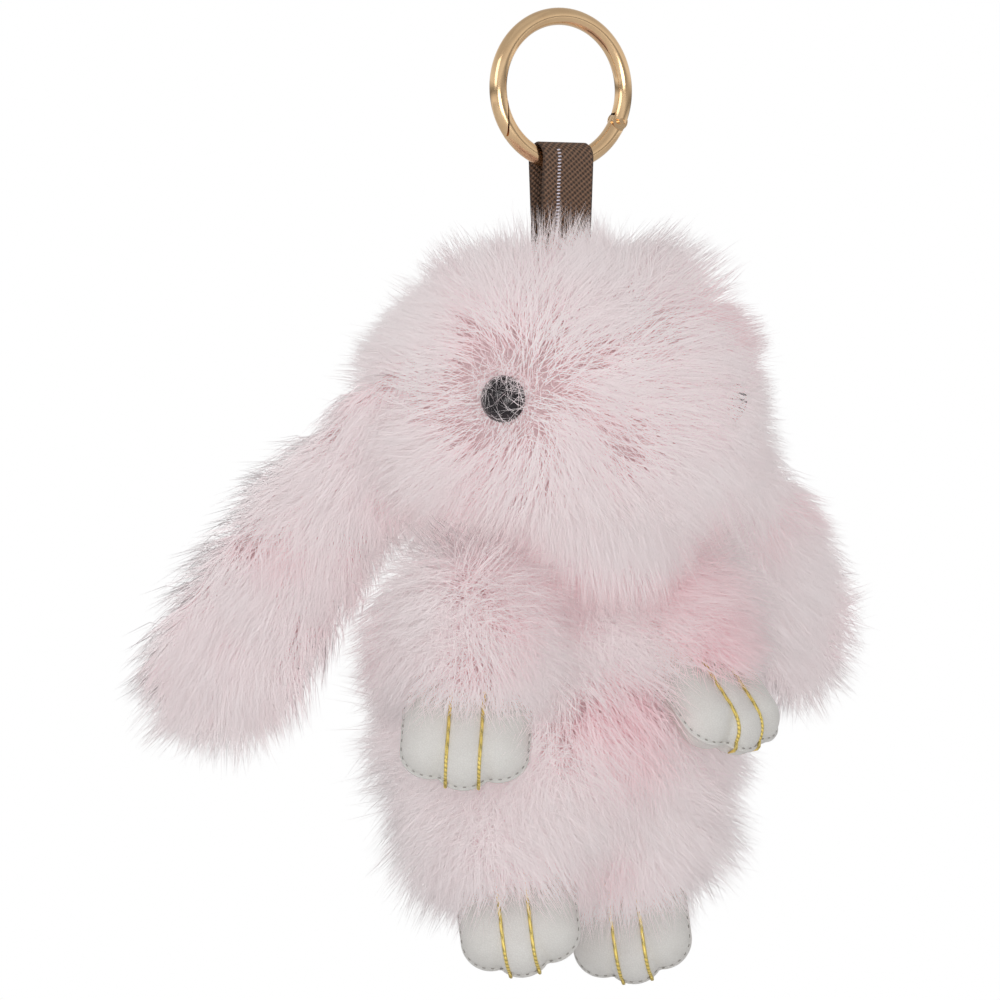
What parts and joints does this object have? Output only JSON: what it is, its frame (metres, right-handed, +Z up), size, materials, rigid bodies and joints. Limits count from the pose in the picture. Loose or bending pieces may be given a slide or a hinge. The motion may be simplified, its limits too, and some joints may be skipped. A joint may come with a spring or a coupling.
{
  "type": "plush keychain",
  "caption": "Plush rabbit with long drooping ears, fur body and small leather paws, hung by a webbing strap from a round spring-gate ring.",
  "frame": {"origin": "centre of the key ring's opening, from which the part hangs", "axes": "+Z up along the part, towards the ring; -Y the way the rabbit faces; the ring lies in the XZ plane"},
  "size_m": [0.1309, 0.0639, 0.1687],
  "materials": {
    "ring_metal": "polished",
    "spring_steel": "drawn wire",
    "webbing": "woven twill",
    "strap_thread": "sewing thread",
    "fur": "long soft pile",
    "ear_lining_cloth": "short plush",
    "wadding": "loose fibre",
    "eye_plastic": "gloss",
    "washer_plastic": "matte",
    "paw_leather": "fine grain",
    "gold_thread": "metallic thread",
    "seam_thread": "sewing thread"
  },
  "bodies": {
    "ring": {"ring_frame": "ring_metal", "gate_hinge_pin": "ring_metal", "gate_spring": "spring_steel"},
    "gate": {"ring_gate": "ring_metal"},
    "strap": {"strap_webbing": "webbing", "strap_stitching": "strap_thread"},
    "head": {"head_fur_skin": "fur", "head_stuffing": "wadding", "right_eye": "eye_plastic", "right_eye_washer": "washer_plastic", "left_eye": "eye_plastic", "left_eye_washer": "washer_plastic"},
    "right_ear": {"right_ear_fur": "fur", "right_ear_lining": "ear_lining_cloth"},
    "left_ear": {"left_ear_fur": "fur", "left_ear_lining": "ear_lining_cloth"},
    "torso": {"torso_fur_skin": "fur", "torso_stuffing": "wadding", "tail_fur": "fur", "tail_core": "wadding"},
    "right_arm": {"right_arm_fur": "fur", "right_arm_stuffing": "wadding", "right_hand_top": "paw_leather", "right_hand_sole": "paw_leather", "right_hand_stuffing": "wadding", "right_hand_claw_threads": "gold_thread", "right_hand_stitches": "seam_thread"},
    "left_arm": {"left_arm_fur": "fur", "left_arm_stuffing": "wadding", "left_hand_top": "paw_leather", "left_hand_sole": "paw_leather", "left_hand_stuffing": "wadding", "left_hand_claw_threads": "gold_thread", "left_hand_stitches": "seam_thread"},
    "right_leg": {"right_leg_fur": "fur", "right_leg_stuffing": "wadding", "right_foot_top": "paw_leather", "right_foot_sole": "paw_leather", "right_foot_stuffing": "wadding", "right_foot_claw_threads": "gold_thread", "right_foot_stitches": "seam_thread"},
    "left_leg": {"left_leg_fur": "fur", "left_leg_stuffing": "wadding", "left_foot_top": "paw_leather", "left_foot_sole": "paw_leather", "left_foot_stuffing": "wadding", "left_foot_claw_threads": "gold_thread", "left_foot_stitches": "seam_thread"}
  },
  "joints": [
    {"name": "gate_opening", "type": "hinge", "parent": "ring", "child": "gate", "pos_m": [0.01133, 0, -0.00528], "axis": [0, 1, 0], "range_deg": [0, 18], "stiffness_Nm_per_rad": 0.06, "springref_deg": -28.65},
    {"name": "strap_swing", "type": "hinge", "parent": "gate", "child": "strap", "pos_m": [0, 0, -0.0119], "axis": [1, 0, 0], "range_deg": [-60, 60]},
    {"name": "crown_seam_bend", "type": "hinge", "parent": "strap", "child": "head", "pos_m": [0, 0, -0.0312], "axis": [1, 0, 0], "range_deg": [-18, 18]},
    {"name": "right_ear_lift", "type": "hinge", "parent": "head", "child": "right_ear", "pos_m": [-0.02753, 0.00662, -0.0517], "axis": [0, 1, 0], "range_deg": [0, 50], "stiffness_Nm_per_rad": 0.004},
    {"name": "left_ear_lift", "type": "hinge", "parent": "head", "child": "left_ear", "pos_m": [0.02753, 0.00662, -0.0517], "axis": [0, -1, 0], "range_deg": [0, 50], "stiffness_Nm_per_rad": 0.004},
    {"name": "neck_nod", "type": "hinge", "parent": "head", "child": "torso", "pos_m": [0, 0.003, -0.077], "axis": [1, 0, 0], "range_deg": [-8, 8], "stiffness_Nm_per_rad": 0.02},
    {"name": "right_shoulder_raise", "type": "hinge", "parent": "torso", "child": "right_arm", "pos_m": [-0.0205, -0.006, -0.0915], "axis": [0, 1, 0], "range_deg": [0, 35], "stiffness_Nm_per_rad": 0.01},
    {"name": "left_shoulder_raise", "type": "hinge", "parent": "torso", "child": "left_arm", "pos_m": [0.0152, -0.006, -0.0894], "axis": [0, -1, 0], "range_deg": [0, 35], "stiffness_Nm_per_rad": 0.01},
    {"name": "right_hip_swing", "type": "hinge", "parent": "torso", "child": "right_leg", "pos_m": [-0.012, -0.001, -0.1205], "axis": [-1, 0, 0], "range_deg": [-8, 25], "stiffness_Nm_per_rad": 0.01},
    {"name": "left_hip_swing", "type": "hinge", "parent": "torso", "child": "left_leg", "pos_m": [0.0096, -0.001, -0.122], "axis": [-1, 0, 0], "range_deg": [-8, 25], "stiffness_Nm_per_rad": 0.01}
  ]
}
